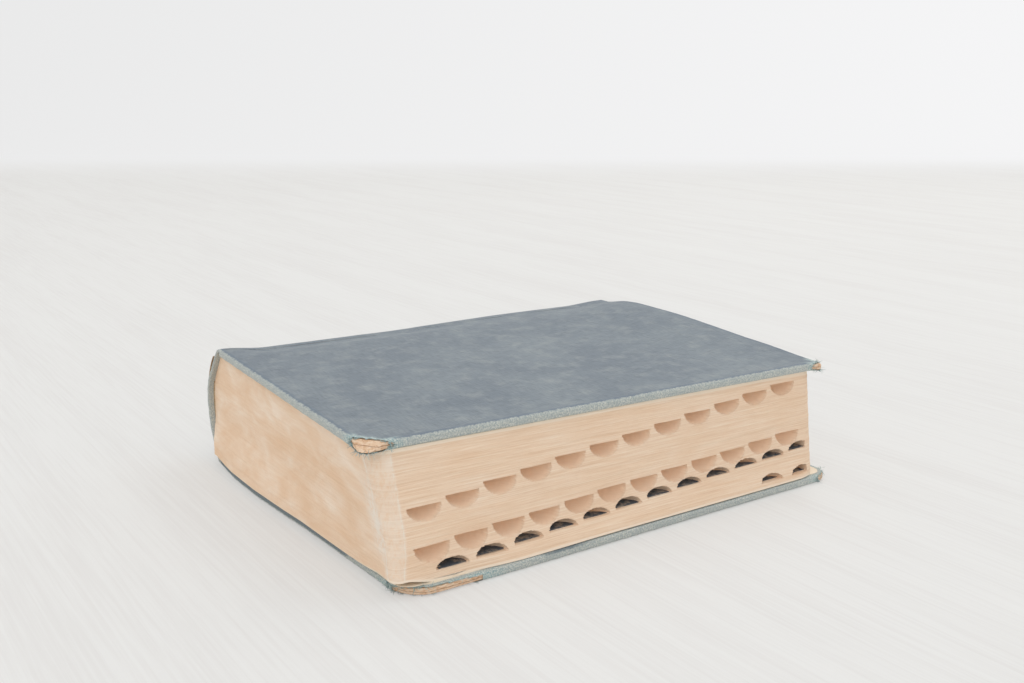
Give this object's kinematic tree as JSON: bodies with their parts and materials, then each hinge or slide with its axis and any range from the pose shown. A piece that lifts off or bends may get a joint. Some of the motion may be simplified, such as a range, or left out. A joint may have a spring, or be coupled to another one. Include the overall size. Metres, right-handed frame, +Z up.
{
  "type": "hardback book",
  "caption": "Thick old cloth-covered hardback book lying flat, with a thumb index cut into the fore edge, a rounded spine, worn corners and hinged covers.",
  "frame": {"origin": "centre of the bounding box, at its bottom: on the floor under the middle of the closed book as it lies on its back cover", "axes": "+Y from the tail of the book to its head, +X from the spine to the fore edge, +Z up from the back cover to the front cover"},
  "size_m": [0.2184, 0.2586, 0.0613],
  "materials": {
    "page_paper": "matte",
    "end_paper": "matte",
    "tab_paper": "matte",
    "lining_cloth": "matte",
    "inlay_card": "matte",
    "cover_cloth": "matte",
    "pasteboard": "matte"
  },
  "bodies": {
    "book_block": {"text_block": "page_paper", "front_flyleaf": "end_paper", "back_flyleaf": "end_paper", "letter_tabs": "tab_paper", "spine_lining": "lining_cloth", "spine_inlay": "inlay_card", "spine_cloth": "cover_cloth"},
    "front_cover": {"front_board": "pasteboard", "front_cover_cloth": "cover_cloth", "front_pastedown": "end_paper"},
    "back_cover": {"back_board": "pasteboard", "back_cover_cloth": "cover_cloth", "back_pastedown": "end_paper"}
  },
  "joints": [
    {"name": "front_cover_hinge", "type": "hinge", "parent": "book_block", "child": "front_cover", "pos_m": [-0.09222, 0.00449, 0.05925], "axis": [-0.0489, -0.9988, 0], "range_deg": [0, 180]},
    {"name": "back_cover_hinge", "type": "hinge", "parent": "book_block", "child": "back_cover", "pos_m": [-0.09165, 0.00036, 0.00205], "axis": [0, 1, 0], "range_deg": [0, 180]}
  ]
}
